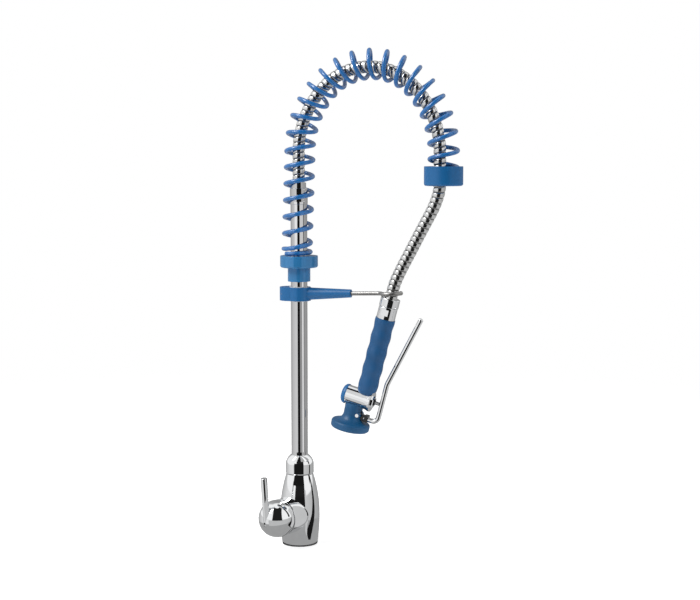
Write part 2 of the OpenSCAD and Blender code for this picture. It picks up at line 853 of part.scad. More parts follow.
module hose_nut() {
    color(chrome) in_handset() difference() {
        round_disc(hose_nut_d / 2, -hose_nut_h, 0, 0.6, 1.2);
        disc(hose_d / 2 + 0.15, -hose_nut_h - 1, 1);
        disc(nut_bore_r, -hose_nut_h - 1, -nut_collar);
    }
}

module hose_tail() {
    flange_s = nut_collar + 0.05;
    color(brass) in_handset() difference() {
        union() {
            disc(hose_bore / 2 * cos(180 / hose_sides) - 0.1, -flange_s - 0.5, 8);
            disc(nut_bore_r - 0.3, -flange_s - tail_flange, -flange_s);
            disc(tail_nose_r, -flange_s - tail_flange - tail_nose, -flange_s - 0.5);
        }
        disc(hose_bore / 2 - 1.4, -far / 4, 9);
    }
}

module nut_washer() {
    top = -nut_collar - 0.05 - tail_flange;
    color(rubber) in_handset() tube(nut_bore_r - 0.4, tail_nose_r + 0.1, top - washer_h, top);
}

module inlet_adaptor() {
    inlet_s = nut_collar + 0.05 + tail_flange + washer_h + 0.1;
    nose_end = nut_collar + tail_flange + tail_nose + 0.7;
    color(chrome) in_handset() difference() {
        union() {
            disc(nut_bore_r - 0.2, -adaptor_top - 0.5, -inlet_s);
            round_disc(adaptor_d / 2, -grip_top, -adaptor_top, 0.4, 0.8);
        }
        disc(tail_nose_r + 0.2, -nose_end, 0);
        disc(tube_bore_r, -far / 2, 0);
        disc(tube_r + 0.02, -far / 2, -grip_top + tube_in_adaptor);
        for (turn = [0, 180]) rotate([0, 0, turn])
            translate([-far / 2, adaptor_flat, -adaptor_top - 12]) cube([far, far, 9]);
    }
}

module check_valve() {
    top = -nut_collar - tail_flange - tail_nose - 0.9;
    color(nylon) in_handset() {
        tube(tube_bore_r - 0.05, 4.2, -grip_top + tube_in_adaptor + 0.2, top);
        disc(4.3, top - 5, top - 3);
    }
}

module handle_tube() {
    low = -valve_s + valve_d / 2 - 3.5;
    color(brass) in_handset() tube(tube_r, tube_bore_r, low, -grip_top + tube_in_adaptor - 0.1);
}

// Outline of the grip's finger waves, at a distance s down the grip, with its end rounded
function grip_r(s) = let (over = max(s - grip_end + grip_round, 0))
    grip_d / 2 - grip_wave * (1 - cos(360 * (s - grip_top - grip_first) / grip_pitch))
    - grip_round + sqrt(grip_round * grip_round - over * over);

// Outline of the valve body, flared out to its lip, with a gap all round it
module valve_outline(gap) {
    length = valve_front - flare_q;
    flare = lip_r - valve_d / 2;
    flare_r = (length * length + flare * flare) / (2 * flare);
    disc(valve_d / 2 + gap, -valve_back, flare_q + 0.5);
    rotate_extrude() difference() {
        translate([0, flare_q]) square([lip_r + gap, length]);
        translate([valve_d / 2 + gap + flare_r, flare_q]) circle(r = flare_r, $fn = 360);
    }
    disc(lip_r + gap, valve_front - 0.01, valve_front + 0.5);
}

module grip() {
    steps = 40;
    ends = 8;
    straight = grip_h - grip_round;
    edge = concat([for (i = [0:steps]) grip_top + i * straight / steps],
        [for (i = [1:ends - 1]) grip_top + straight + grip_round * sin(90 * i / ends)]);
    color(blue) in_handset() difference() {
        rotate_extrude() polygon(concat([[0, -grip_top]], [for (s = edge) [grip_r(s), -s]],
            [[grip_r(grip_end), -grip_end], [0, -grip_end]]));
        disc(tube_r + 0.05, -far, 0);
        translate([0, 0, -valve_s]) rotate([0, 90, 0]) {
            disc(valve_d / 2 + 0.05, -far, -valve_back + 1);
            valve_outline(0.05);
            disc(lip_r + 0.05, valve_front, far);
        }
    }
}

module valve_body() {
    color(chrome) difference() {
        in_valve() union() {
            valve_outline(0);
            round_disc(lip_r, valve_front, valve_front + valve_lip, 0, 0.8);
        }
        valve_cuts();
    }
}

module valve_cuts() {
    in_valve() disc(chamber, -far, seat_q);
    in_valve() disc(seat_bore, -far, 0);
    in_valve() disc(chamber, seat_q + seat_wall, far);
    in_handset() disc(tube_r + 0.05, -valve_s + valve_d / 2 - 3.5, 0);
    in_handset() translate([2.6, 0, 0]) disc(2.7, -valve_s, 0);
    in_head() disc(head_tube_r + 0.02, -far, -chamber - 0.6);
    in_head() disc(head_bore_r, -far, 0);
}

module end_cap() {
    face = -valve_back;
    color(blue) in_valve() difference() {
        union() {
            round_disc(valve_d / 2 + 0.9, face - cap_len, face - 0.02, cap_round, 0.5);
            disc(chamber - 0.05, face - 1, face + 3);
        }
        tube(chamber + 2.6, chamber - 0.05, face - 1.1, face + 4);
    }
}

module end_cap_seal() {
    color(rubber) in_valve() tube(chamber + 2.5, chamber, -valve_back - 1.1, -valve_back);
}

module valve_spring() {
    top = seat_q - washer_len - plug_len - 0.05;
    color(steel) in_valve() tube(plug_r - 0.4, plug_r - 1.4, -valve_back + 3.05, top);
}

module valve_plug() {
    back = seat_q - washer_len - plug_len;
    color(brass) in_valve() tube(plug_r, stem_r + 0.02, back, seat_q - washer_len);
}

module valve_washer() {
    color(rubber) in_valve() tube(plug_r - 0.2, stem_r + 0.02, seat_q - washer_len + 0.02, seat_q - 0.02);
}

module valve_stem() {
    color(steel) in_valve() disc(stem_r, seat_q - washer_len - plug_len, trigger_q - trigger_d / 2 - 0.1);
}

module gland_nut() {
    face = valve_front + valve_lip;
    color(chrome) in_valve() difference() {
        union() {
            disc(chamber - 0.05, face - gland_spigot, face + 0.5);
            translate([0, 0, face + 0.02]) cylinder(h = gland_head, r = gland_head_r, $fn = 6);
        }
        disc(stem_r + fit, 0, far);
    }
}

module stem_seal() {
    face = valve_front + valve_lip + 0.02 + gland_head;
    color(rubber) in_valve() tube(wiper_r, stem_r + fit, face, face + wiper_h);
}

// ---------------------------------------------------------------- spray head

module neck_solid() {
    flare = rim_top - neck_end;
    in_head() disc(neck_d / 2, -neck_end - 0.5, -valve_d / 2 + 4);
    in_head() disc(head_tube_r, -valve_d / 2 - 1, -chamber - 0.6);
    in_head() rotate_extrude() difference() {
        translate([0, -rim_top]) square([neck_d / 2 + flare, flare]);
        translate([neck_d / 2 + flare, -neck_end]) circle(r = flare);
    }
    in_head() disc(rose_r - 0.05, -rim_top - rose_cavity - 1.4, -rim_top + 0.1);
    in_pin() disc(eye_r + 0.8, -pin_half, pin_half);
}

module spray_neck() {
    cavity_z = -rim_top - 1.4;
    color(blue) difference() {
        neck_solid();
        difference() {
            in_valve() disc(valve_d / 2 + 0.05, -far, far);
            in_head() disc(head_tube_r, -valve_d, 0);
        }
        in_head() disc(head_bore_r, -neck_end - 5, 0);
        in_head() tube(rose_r - 3, boss_small_r, cavity_z - rose_cavity - 1, cavity_z);
        in_head() tube(rose_r - 0.6, rose_r - 2.4, cavity_z - rose_cavity - 1, cavity_z - rose_cavity + 0.8);
        in_head() disc(screw_r, cavity_z - rose_cavity - 1, cavity_z - rose_cavity + 5);
        in_head() for (turn = [45, 135, 225, 315]) rotate([0, 0, turn]) {
            translate([0, 0, -neck_end - 3]) rotate([0, 90, 0]) disc(feed_r, 0, feed_ring + feed_r);
            translate([feed_ring, 0, 0]) disc(feed_r, cavity_z - 0.5, -neck_end - 3);
        }
        in_handset() translate([pin_q - eye_r - 0.4, -slot_w / 2, -pin_s - 7.6])
            cube([far, slot_w, 14]);
        in_pin() disc(pin_r + 0.02, -far, far);
        in_pin() for (turn = [0, 180]) rotate([turn, 0, 0]) disc(pin_head_r + 0.2, pin_half, far / 4);
        in_valve() disc(valve_d / 2 + 1.3, -valve_back - cap_len - 1, -valve_back + 0.05);
    }
}

module rose_bumper() {
    color(blue) in_head() difference() {
        round_disc(rose_d / 2, -rim_top - rim_h, -rim_top, 3.5, 3);
        disc(rose_r, -far, far);
    }
}

module rose_plate() {
    top = -rim_top - 1.4 - rose_cavity - 0.02;
    color(steel) in_head() difference() {
        disc(rose_r - 0.05, top - rose_plate_h, top);
        disc(screw_r + 0.1, -far, far);
        for (row = [1, 2]) for (k = [0:row * 8 - 1])
            rotate([0, 0, k * 45 / row]) translate([1.5 + 6.5 * row, 0, 0])
                disc(rose_hole_r, -far, far, $fn = 24);
    }
}

module rose_seal() {
    low = -rim_top - 1.4 - rose_cavity;
    color(rubber) in_head() tube(rose_r - 0.65, rose_r - 2.35, low, low + 0.8);
}

module rose_screw() {
    face = -rim_top - 1.4 - rose_cavity - 0.02 - rose_plate_h;
    color(steel) in_head() {
        disc(screw_r - 0.05, face - 0.5, face + rose_plate_h + 4.5);
        difference() {
            round_disc(3.2, face - 1.4, face - 0.02, 0.6, 0);
            translate([-4, -0.4, face - 2]) cube([8, 0.8, 1.2]);
        }
    }
}

// ---------------------------------------------------------------- squeeze lever

module lever_pin() {
    color(steel) in_pin() {
        disc(pin_r, -pin_half - 0.5, pin_half + 0.5);
        for (side = [-1, 1]) translate([0, 0, side * (pin_half + 0.65)])
            cylinder(h = 1.2, r = pin_head_r, center = true, $fn = 48);
    }
}

module pivot_block() {
    color(rubber) difference() {
        union() {
            in_pin() disc(eye_r, -block_w / 2, block_w / 2);
            in_handset() translate([pin_q, -block_w / 2, -block_foot])
                cube([leg_q - pin_q + 1, block_w, block_foot - pin_s + 2]);
            in_handset() translate([leg_q, -block_side, -block_foot - 0.1])
                cube([5.2, 2 * block_side, block_foot - pin_s + 2.9]);
        }
        in_pin() disc(pin_r + fit, -far, far);
        in_handset() translate([0, 0, -leg_s]) rotate([0, 90, 0])
            disc(trigger_d / 2 + 0.02, leg_q - 1.2, far);
    }
}

// Quarter or part of a bend in the handset frame: starts at the origin going up, curves towards +X
module rod_bend(bend_r, turn, r) {
    translate([bend_r, 0, 0]) rotate([90, 0, 0]) rotate([0, 0, 180 - turn])
        rotate_extrude(angle = turn) translate([bend_r, 0]) circle(r = r + swell, $fn = 48);
}

module squeeze_lever() {
    r = trigger_d / 2;
    ease = knee_r * tan(trigger_lean / 2);
    rod = (knee_s - trigger_top_s) / cos(trigger_lean) - ease;
    color(chrome) in_handset() {
        translate([0, 0, -leg_s]) rotate([0, 90, 0]) disc(r, leg_q - 1.1, trigger_q - trigger_bend + seam);
        translate([trigger_q, 0, -leg_s + trigger_bend]) rotate([0, 180, 0]) rod_bend(trigger_bend, 90, r);
        translate([trigger_q, 0, 0]) disc(r, -leg_s + trigger_bend - seam, -knee_s - ease + seam);
        translate([trigger_q, 0, -knee_s - ease]) rod_bend(knee_r, trigger_lean, r);
        translate([trigger_q, 0, -knee_s]) rotate([0, trigger_lean, 0])
            round_disc(r, ease - seam, ease + rod, 0, r - 0.4);
    }
}

mixer_body();
base_gasket();
riser_nut();
riser_bush();
riser_seals();
cartridge_housing();
cartridge_nut();
cartridge_seals();
fixed_disc();
moving_disc();
spindle_carrier();
spindle();
ball_cap();
mixer_lever();
lever_screw();
indicator_plug();
riser_pipe();
riser_fitting();
riser_ferrule();
lower_collar();
collar_screw();
arch_spring();
hose_arch();
arm_liner();
holder_arm();
clamp_screw();
hook_rod();
upper_collar();
collar_gland();
hose_drop();
hose_nut();
hose_tail();
nut_washer();
inlet_adaptor();
check_valve();
handle_tube();
grip();
valve_body();
end_cap();
end_cap_seal();
valve_spring();
valve_plug();
valve_washer();
valve_stem();
gland_nut();
stem_seal();
spray_neck();
rose_bumper();
rose_plate();
rose_seal();
rose_screw();
squeeze_lever();
pivot_block();
lever_pin();
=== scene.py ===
"""Looks of a deck-mounted pre-rinse faucet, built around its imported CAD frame."""

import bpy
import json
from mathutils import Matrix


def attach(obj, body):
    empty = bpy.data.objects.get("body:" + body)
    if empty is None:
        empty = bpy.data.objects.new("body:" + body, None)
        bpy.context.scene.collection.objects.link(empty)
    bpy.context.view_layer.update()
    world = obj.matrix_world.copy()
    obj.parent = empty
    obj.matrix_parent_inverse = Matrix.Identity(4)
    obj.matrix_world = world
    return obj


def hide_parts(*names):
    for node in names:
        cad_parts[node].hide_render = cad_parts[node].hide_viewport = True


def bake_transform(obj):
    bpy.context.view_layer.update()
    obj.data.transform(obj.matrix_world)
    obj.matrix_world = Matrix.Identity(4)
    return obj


bl_info = {
    "name": "Pre-rinse faucet",
    "version": (1, 0, 0),
    "blender": (4, 5, 0),
    "location": "3D View > Sidebar > Faucet",
    "description": "Builds the spring, hoses, grip and finishes of a pre-rinse faucet",
    "category": "Object",
}

import json
import math

import bmesh
import bpy
from mathutils import Vector

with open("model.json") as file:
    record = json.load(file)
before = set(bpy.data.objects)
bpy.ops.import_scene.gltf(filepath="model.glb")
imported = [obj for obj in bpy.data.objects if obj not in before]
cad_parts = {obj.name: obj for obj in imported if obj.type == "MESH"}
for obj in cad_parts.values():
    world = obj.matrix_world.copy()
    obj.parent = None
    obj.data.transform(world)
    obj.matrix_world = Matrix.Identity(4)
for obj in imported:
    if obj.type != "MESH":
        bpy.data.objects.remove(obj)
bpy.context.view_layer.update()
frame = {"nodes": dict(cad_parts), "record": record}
NODES = frame["nodes"]
MM = 0.001


# ---------------------------------------------------------------- sizes in millimetres

# Height of the upper collar's foot, distance of its hose from the riser, and the handset's tilt
# and upper end
CUP_FOOT = 525.0
HOSE_X = 209.5
HANDSET_TILT = math.radians(14.8)
HANDSET_TOP = Vector((138.926, 0.0, 365.851))

# Free hose below the upper collar: X and Z of its centre line, from its start in the collar
DROP_ROUTE = [
    (0, 17.7), (0, 0), (-1.2, -9.5), (-4.2, -19.5), (-7.8, -28.5), (-12.2, -37.5), (-22, -55.5),
    (-31.8, -73.5), (-41.2, -91.5), (-51.2, -110), (-60.3, -128), (-64.2, -137), (-67.1, -146),
]
# Its last, straight stretch
DROP_STRAIGHT = 17.6

# An arch's foot x, left x, right x, rise over its legs, leg height, foot z and end z
SPRING_ARCH = (-3.0, 2.0, 215.0, 123.4, 571.0, 426.35, 538.35)
HOSE_ARCH = (0.0, 0.0, HOSE_X, 119.5, 571.0, 520.2, 543.0)
SHOULDER = math.radians(45)
# Wire: where it starts round the coil, how the pitch swings and leans along it, and the pitch of
# its closed end turns
COIL_START = math.radians(58)
PITCH_SWING = 0.04
PITCH_LEAN = 0.02
END_PITCH = 6.7
# The wire's rounded ends: width against the wire and how far they stand out
WIRE_END_WIDTH, WIRE_END_REACH = 0.72, 0.7
# Profile of one rib of the hose, in shares of half the pitch and of the groove's depth
CROWN_WIDTH, CROWN_DROP = 0.72, 0.2
GROOVE_WIDTH, GROOVE_DROP = 0.26, 0.8
# How many flats stand for a round, and how many steps for a run
FLOOR_SIDES = 96
CARD_STEPS, VALVE_CARD_STEPS = 24, 12
HOSE_SIDES, RIB_STEPS, ARCH_STEPS = 44, 14, 400
WIRE_SIDES, TURN_STEPS = 16, 40
ROUTE_STEP, CORD_STEP = 1.0, 6.0


# ---------------------------------------------------------------- studio, in metres and degrees

CAMERA_TURN = 19
CAMERA_PITCH = 5.87
CAMERA_SPOT = (0.7532, -1.9616, 0.5745)
FLOOR_RADIUS, FLOOR_FADE_FROM, FLOOR_FADE_TO = 1.8, 0.35, 1.7
FLOOR_GLOW = 0.62
# The near floor, seen only by the chrome, glows dimmer than the floor: painted shade round the foot
# in its reflections
NEAR_FLOOR_RADIUS, NEAR_FLOOR_HEIGHT, NEAR_FLOOR_SHADE = 0.17, -0.0004, 0.37
# Glowing cards seen only by the chrome, as painted reflections: brightness, then radius, height and
# two turns from the camera
CARDS = {
    "left": (0.88, [(0.03, 0.133, -48, -16.5), (0.03, 0.4, -48, -16.5)]),
    "left_high": (1.2, [(0.03, 0.4, -48, -16.5), (0.03, 0.5, -48, -16.5)]),
    "middle": (0.01, [(0.03, 0.133, -16.5, 9.8), (0.03, 0.5, -16.5, 9.8)]),
    "right": (0.44, [(0.03, 0.133, 9.8, 35), (0.03, 0.4, 9.8, 35)]),
    "right_high": (0.88, [(0.03, 0.4, 9.8, 50), (0.03, 0.5, 9.8, 50)]),
    "glint": (1.15, [(0.03, 0.133, 35, 52), (0.03, 0.4, 35, 52)]),
    "edge": (0.4, [(0.03, 0.133, 52, 74), (0.03, 0.4, 52, 74)]),
    "edge_high": (0.16, [(0.03, 0.4, 50, 61), (0.03, 0.5, 50, 61)]),
    "front": (0.55, [(0.14, 0.0, -42, 46), (0.14, 0.049, -42, 46)]),
    "nut": (0.01, [(0.05, 0.096, -36, 27), (0.05, 0.133, -36, 27)]),
    # Dark ring round the body's foot, seen at its lower edge: painted contact shade
    "rim": (0.05, [(0.0245, 0.0006, -120, 120), (0.0295, 0.0006, -120, 120)]),
    "foot": (0.01, [(0.11, 0.126, 80, 87), (0.11, 0.09, 77, 88), (0.11, 0.06, 74, 88),
                    (0.11, 0.03, 66, 86), (0.11, 0.012, 54, 82), (0.11, 0.0004, 44, 76),
                    (0.09, 0.0003, 36, 71), (0.065, 0.0003, 38, 62), (0.045, 0.0003, 42, 52)]),
}
# Glowing cards round the valve body's axis, VALVE_S mm down the handset, seen only by the chrome as
# painted
# reflections: brightness, radius and reach along the axis in mm, and two angles up from its front
VALVE_S = 152.2
VALVE_CARDS = {
    "valve_light": (0.72, 62, (-60, 10), (26, 62.5)),
    "valve_top": (0.01, 62, (-60, 10), (62.5, 81)),
    "valve_line": (0.01, 28.5, (-42, -4), (-52, -44)),
}
# A glowing fin, seen only by the chrome, that stands out from the body beside the boss as a painted
# light reflection: turn, brightness, radii and heights
FIN_TURN, FIN_SHADE = 25, 0.6
FIN_RADII, FIN_HEIGHTS = (0.0305, 0.052), (0.015, 0.085)
# Brightness of the walls by the turn away from the camera
WALL_SHADES = (
    (-180, 0.3), (-152, 0.4), (-140, 0.5), (-112, 0.64), (-89, 0.78), (-55, 0.84), (-39, 0.9),
    (0, 0.7), (31, 0.8), (46, 0.9), (60, 0.95), (68, 0.7), (76, 0.42), (97, 0.42), (121, 0.56),
    (146, 0.7), (160, 0.4), (180, 0.3),
)
# Where parts of the surround begin or end, each with half the width over which it eases
SOFT_BOX_BACK = (140.0, 12.0)
SOFT_BOX_FOOT = (4.0, 1.0)
SOFT_BOX_CROWN = (60.0, 8.0)
FLOOR_EDGE = (-22.0, 3.0)
FLOOR_FALL = (-58.0, 22.0)
# Brightness of the floor at the foot, and how much it gains towards the walls
FOOT_TONE, FLOOR_GAIN = 0.38, 0.22
# Dark gap between the soft boxes: middle, half width at eye level and how it narrows with the
# rise, then its side edge, its lowest and highest rise, and the edge of the front half
GAP_MIDDLE, GAP_HALF, GAP_TAPER = 3.0, 32.0, 0.16
GAP_SIDE = (0.0, 1.2)
GAP_RISE = (-46, 78, 1.0)
FRONT_HALF = (0.0, 0.06)
# Dark edge of the right-hand box: two turns and two rises
EDGE_TURN, EDGE_RISE = (78, 90, 1.5), (9, 70, 1.5)
# Share of the light that the gap and the edge take away, and that matt pieces go without
DARKENING = 0.985
MATT_LOSS = 0.6
# Soft boxes: name, spot, what they face, height in metres and power in watts
LAMPS = (
    ("soft_box_left", (-1.3, -1.3, 2.3), (0.1, 0, 0.4), 1.5, 52),
    ("soft_box_right", (1.9, -0.8, 1.5), (0.1, 0, 0.4), 1.2, 14),
)


# ---------------------------------------------------------------- colours


def linear(hex_code):
    """Turn an sRGB hex value into Blender's linear colour."""
    parts = [int(hex_code[i:i + 2], 16) / 255 for i in (1, 3, 5)]
    return tuple(c / 12.92 if c <= 0.04045 else ((c + 0.055) / 1.055) ** 2.4 for c in parts)


def rgba(colour):
    return (*colour[:3], 1.0)


class FaucetColours(bpy.types.PropertyGroup):
    moulding: bpy.props.FloatVectorProperty(
        name="Moulded blue", description="Upper collar, holder arm, end cap", subtype="COLOR",
        default=linear("#15639D"), min=0, max=1)
    spring: bpy.props.FloatVectorProperty(
        name="Spring coating", description="Coating of the coil spring", subtype="COLOR",
        default=linear("#1F6DB2"), min=0, max=1)
    lower_collar: bpy.props.FloatVectorProperty(
        name="Lower collar", description="Lighter batch of the same moulded blue", subtype="COLOR",
        default=linear("#2875AC"), min=0, max=1)
    head: bpy.props.FloatVectorProperty(
        name="Spray head", description="Darker blue of the spray head and its rim", subtype="COLOR",
        default=linear("#11527F"), min=0, max=1)
    grip: bpy.props.FloatVectorProperty(
        name="Grip", description="Soft blue of the hand grip", subtype="COLOR",
        default=linear("#0F5183"), min=0, max=1)
    chrome: bpy.props.FloatVectorProperty(
        name="Chrome", description="Plated brass", subtype="COLOR",
        default=linear("#F0F1F2"), min=0, max=1)
    pipe: bpy.props.FloatVectorProperty(
        name="Riser chrome", description="Duller plating of the drawn riser pipe", subtype="COLOR",
        default=linear("#D2D2D3"), min=0, max=1)
    armour: bpy.props.FloatVectorProperty(
        name="Hose armour", description="Stainless strip of the hose", subtype="COLOR",
        default=linear("#E6E7E8"), min=0, max=1)
    floor: bpy.props.FloatVectorProperty(
        name="Floor", description="Floor and backdrop", subtype="COLOR",
        default=linear("#FFFFFF"), min=0, max=1)


class FaucetSizes(bpy.types.PropertyGroup):
    wire: bpy.props.FloatProperty(
        name="Spring wire", description="Coated diameter of the spring wire",
        default=6.0 * MM, min=0.002, max=0.008, unit="LENGTH")
    spring: bpy.props.FloatProperty(
        name="Spring", description="Outer diameter of the spring",
        default=45.2 * MM, min=0.03, max=0.06, unit="LENGTH")
    turns: bpy.props.FloatProperty(
        name="Open turns", description="Turns between the two closed end turns",
        default=23.0, min=10, max=40)
    hose: bpy.props.FloatProperty(
        name="Hose", description="Outer diameter of the armoured hose",
        default=17.6 * MM, min=0.01, max=0.02, unit="LENGTH")
    rib: bpy.props.FloatProperty(
        name="Rib pitch", description="Distance from one armour rib to the next",
        default=7.7 * MM, min=0.002, max=0.012, unit="LENGTH")
    rib_depth: bpy.props.FloatProperty(
        name="Rib depth", description="Depth of the groove between two ribs",
        default=1.1 * MM, min=0.0002, max=0.002, unit="LENGTH")
    lens: bpy.props.FloatProperty(
        name="Lens", description="Focal length of the camera", default=75.03, min=20, max=200)


def sizes():
    return bpy.context.scene.faucet_sizes


def colours():
    return bpy.context.scene.faucet_colours


# ---------------------------------------------------------------- paths, in millimetres


def arch_stretches(arch):
    """Radii, shift and running length at the end of each stretch of an arch."""
    foot_x, left_x, right_x, rise, leg_z, foot_z, end_z = arch
    half = (right_x - left_x) / 2
    shift = (rise - half) / (1 + math.tan(SHOULDER) - 1 / math.cos(SHOULDER))
    r1 = half + shift
    r2 = r1 - shift / math.cos(SHOULDER)
    leg = math.hypot(left_x - foot_x, leg_z - foot_z)
    stops = [leg, leg + r1 * SHOULDER]
    stops.append(stops[1] + r2 * (math.pi - 2 * SHOULDER))
    stops.append(stops[2] + r1 * SHOULDER)
    return half, shift, r1, r2, stops, stops[3] + leg_z - end_z


def arch_at(arch, s):
    """Point and heading of an arch at running length s."""
    foot_x, left_x, right_x, rise, leg_z, foot_z, end_z = arch
    half, shift, r1, r2, stops, _ = arch_stretches(arch)
    if s < stops[0]:
        lean = math.atan2(left_x - foot_x, leg_z - foot_z)
        return foot_x + s * math.sin(lean), foot_z + s * math.cos(lean), math.pi / 2 - lean
    if s < stops[1]:
        t = (s - stops[0]) / r1
        return left_x + r1 * (1 - math.cos(t)), leg_z + r1 * math.sin(t), math.pi / 2 - t
    if s < stops[2]:
        t = SHOULDER + (s - stops[1]) / r2
        z = leg_z + shift * math.tan(SHOULDER) + r2 * math.sin(t)
        return left_x + half - r2 * math.cos(t), z, math.pi / 2 - t
    if s < stops[3]:
        t = math.pi - SHOULDER + (s - stops[2]) / r1
        return right_x - r1 * (1 + math.cos(t)), leg_z + r1 * math.sin(t), math.pi / 2 - t
    return right_x, leg_z - (s - stops[3]), -math.pi / 2


def coil_length(turn, turns, active):
    """Running length of the spring after a number of turns: closed, open, closed."""
    if turn < 1:
        return END_PITCH * turn
    if turn > turns + 1:
        return END_PITCH * (turn - turns) + active
    u = (turn - 1) / turns
    whole = 2 * math.pi * u
    drift = (PITCH_SWING * math.sin(whole) + PITCH_LEAN * (1 - math.cos(whole))) / (2 * math.pi)
    return END_PITCH + active * (u + drift)


def coil_point(turn, turns, radius):
    """Centre of the spring's wire after a number of turns, and its direction from the axis."""
    active = arch_stretches(SPRING_ARCH)[5] - 2 * END_PITCH
    x, z, heading = arch_at(SPRING_ARCH, coil_length(turn, turns, active))
    a = COIL_START + 2 * math.pi * turn
    out = Vector((-math.sin(heading) * math.cos(a), -math.sin(a), math.cos(heading) * math.cos(a)))
    return Vector((x, 0, z)) + radius * out, out


def smooth_route(points, step):
    """A smooth curve through points, with a point about every step."""
    coarse = 0.5
    points = [Vector(p) for p in points]
    padded = [2 * points[0] - points[1]] + points + [2 * points[-1] - points[-2]]
    fine = []
    for i in range(1, len(padded) - 2):
        a, b, c, d = padded[i - 1:i + 3]
        count = max(2, round((c - b).length / coarse))
        for k in range(count):
            t = k / count
            fine.append(0.5 * (2 * b + (c - a) * t + (2 * a - 5 * b + 4 * c - d) * t ** 2
                               + (3 * b - a - 3 * c + d) * t ** 3))
    fine.append(points[-1])
    return resample(fine, step)


def resample(points, step):
    """Points spread evenly along a line, about a step apart."""
    runs = [0.0]
    for a, b in zip(points, points[1:]):
        runs.append(runs[-1] + (b - a).length)
    count = max(2, round(runs[-1] / step))
    out, i = [], 0
    for k in range(count + 1):
        s = runs[-1] * k / count
        while i < len(runs) - 2 and runs[i + 1] < s:
            i += 1
        f = (s - runs[i]) / max(runs[i + 1] - runs[i], 1e-9)
        out.append(points[i].lerp(points[i + 1], min(max(f, 0), 1)))
    return out


# ---------------------------------------------------------------- meshes


def finish_mesh(name, mesh_maker, smooth=True):
    """Link a new object whose mesh a function fills in."""
    mesh = bpy.data.meshes.new(name)
    work = bmesh.new()
    mesh_maker(work)
    bmesh.ops.recalc_face_normals(work, faces=work.faces)
    work.to_mesh(mesh)
    work.free()
    for face in mesh.polygons:
        face.use_smooth = smooth
    made = bpy.data.objects.new(name, mesh)
    bpy.context.scene.collection.objects.link(made)
    return made


def sweep(work, rings):
    """Skin a list of rings of points, given in millimetres, and close its ends."""
    rows = [[work.verts.new(p * MM) for p in ring] for ring in rings]
    count = len(rows[0])
    for low, high in zip(rows, rows[1:]):
        for k in range(count):
            m = (k + 1) % count
            work.faces.new((low[k], low[m], high[m], high[k]))
    work.faces.new(rows[0])
    work.faces.new(rows[-1])


def ring_round(centre, along, side, radius, sides):
    """A ring of points round centre, square to along."""
    across = along.cross(side).normalized()
    side = across.cross(along).normalized()
    angles = [2 * math.pi * k / sides for k in range(sides)]
    return [centre + radius * (math.cos(a) * side + math.sin(a) * across) for a in angles]


def handset_axes():
    """Axes of the handset: across towards the lever, and down along the grip."""
    across = Vector((math.cos(HANDSET_TILT), 0, -math.sin(HANDSET_TILT)))
    down = Vector((-math.sin(HANDSET_TILT), 0, -math.cos(HANDSET_TILT)))
    return across, down


# ---------------------------------------------------------------- materials


def add(tree, kind, inputs=None, **settings):
    """Add a node with its settings, and with values or links for its inputs."""
    made = tree.nodes.new("ShaderNode" + kind)
    for key, value in settings.items():
        setattr(made, key, value)
    for key, value in (inputs or {}).items():
        if isinstance(value, bpy.types.NodeSocket):
            tree.links.new(value, made.inputs[key])
        else:
            made.inputs[key].default_value = value
    return made


def new_material(name):
    """A material with an empty tree, its object coordinates and its surface shader."""
    material = bpy.data.materials.new(name)
    material.use_nodes = True
    tree = material.node_tree
    tree.nodes.clear()
    place = add(tree, "TexCoord").outputs["Object"]
    shader = add(tree, "BsdfPrincipled")
    output = add(tree, "OutputMaterial", {"Surface": shader.outputs["BSDF"]})
    output.location = (600, 0)
    return material, tree, place, shader


def ramp(tree, factor, low, high):
    """Two colours mixed by a factor."""
    mix = add(tree, "Mix", {"Factor": factor}, data_type="RGBA")
    mix.inputs["A"].default_value = rgba(low)
    mix.inputs["B"].default_value = rgba(high)
    return mix.outputs["Result"]


def tone(colour, gain):
    """A colour made lighter or darker."""
    return tuple(min(1.0, c * gain) for c in colour[:3])


def spread(tree, factor, low, high):
    """A factor of 0 to 1 brought into a range."""
    return add(tree, "MapRange", {"Value": factor, "To Min": low, "To Max": high}).outputs["Result"]


def noise(tree, place, scale, detail, distortion=0.0):
    """Soft noise over a place, 0 to 1."""
    return add(tree, "TexNoise", {"Vector": place, "Scale": scale, "Detail": detail,
                                  "Distortion": distortion}).outputs["Fac"]


def link_surface(tree, shader, colour, roughness, relief, strength, distance):
    """Give a shader its colour and roughness, and the relief that bends its normals."""
    tree.links.new(colour, shader.inputs["Base Color"])
    tree.links.new(roughness, shader.inputs["Roughness"])
    bump = add(tree, "Bump", {"Height": relief, "Strength": strength, "Distance": distance})
    tree.links.new(bump.outputs["Normal"], shader.inputs["Normal"])


def chrome_plating(name, colour, waviness_mm, waviness):
    """Bright chrome on polished brass: mirror reflections that bend a little where the metal
    under the plating is not quite true, with faint wiping marks."""
    material, tree, place, shader = new_material(name)
    shader.inputs["Metallic"].default_value = 1.0
    waves = noise(tree, place, 1000 / waviness_mm, 1.0)
    wipes = noise(tree, place, 90.0, 4.0, distortion=0.6)
    link_surface(tree, shader, ramp(tree, wipes, tone(colour, 0.96), colour),
                 spread(tree, wipes, 0.03, 0.07), waves, waviness, 0.0004)
    return material


def drawn_steel(name, colour, roughness, line_mm, axis_scale):
    """Satin stainless: fine lines left along the rod by drawing spread the highlight across it."""
    material, tree, place, shader = new_material(name)
    shader.inputs["Metallic"].default_value = 1.0
    stretch = add(tree, "Mapping", {"Vector": place, "Scale": axis_scale}).outputs["Vector"]
    lines = noise(tree, stretch, 1000 / line_mm, 3.0)
    link_surface(tree, shader, ramp(tree, lines, tone(colour, 0.8), colour),
                 spread(tree, lines, roughness * 0.8, roughness * 1.3), lines, 0.12, 0.0002)
    return material


